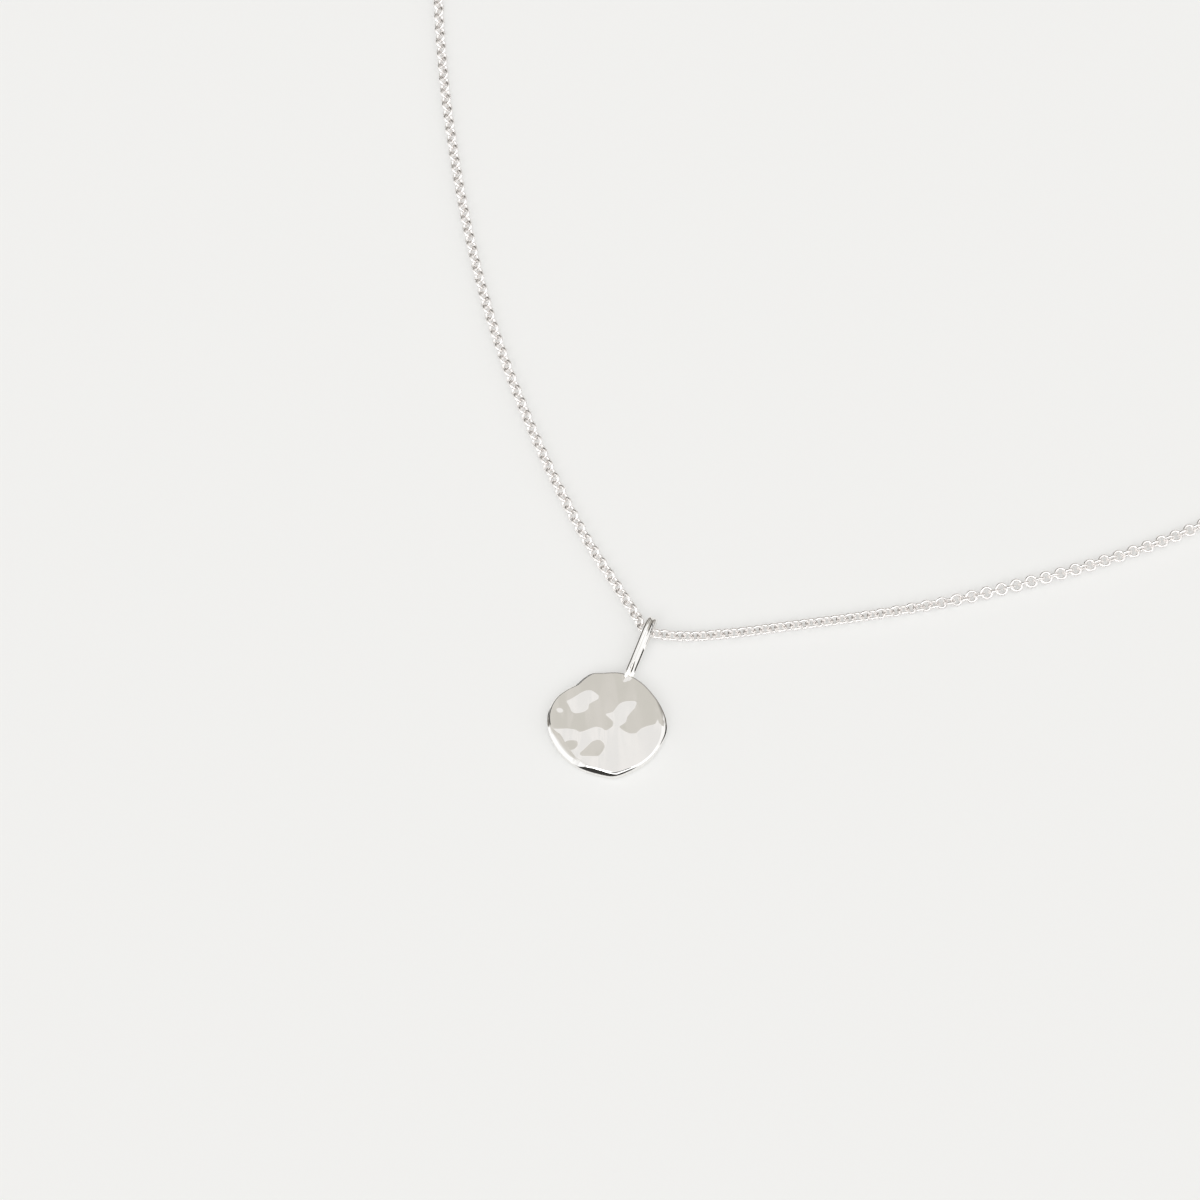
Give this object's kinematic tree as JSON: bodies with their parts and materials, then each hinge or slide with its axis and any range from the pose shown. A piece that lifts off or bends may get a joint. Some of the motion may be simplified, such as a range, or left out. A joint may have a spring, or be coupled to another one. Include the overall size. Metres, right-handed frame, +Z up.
{
  "type": "moon disc pendant necklace",
  "caption": "Hammered round silver moon disc on a long wire-loop bail, threaded on a fine round-link chain with a clasp ring, lying flat.",
  "frame": {"origin": "centre of the whole necklace's box as it lies, on the surface under it", "axes": "+X right and +Y away in the picture, +Z up from the surface; the necklace is longest along Y and flattest along Z"},
  "size_m": [0.1246, 0.1582, 0.0025],
  "materials": {
    "polished_silver": "mirror polished, hammered face",
    "chain_silver": "polished wire"
  },
  "bodies": {
    "root": {"pendant": "polished_silver", "chain": "chain_silver", "clasp": "chain_silver"}
  },
  "joints": []
}
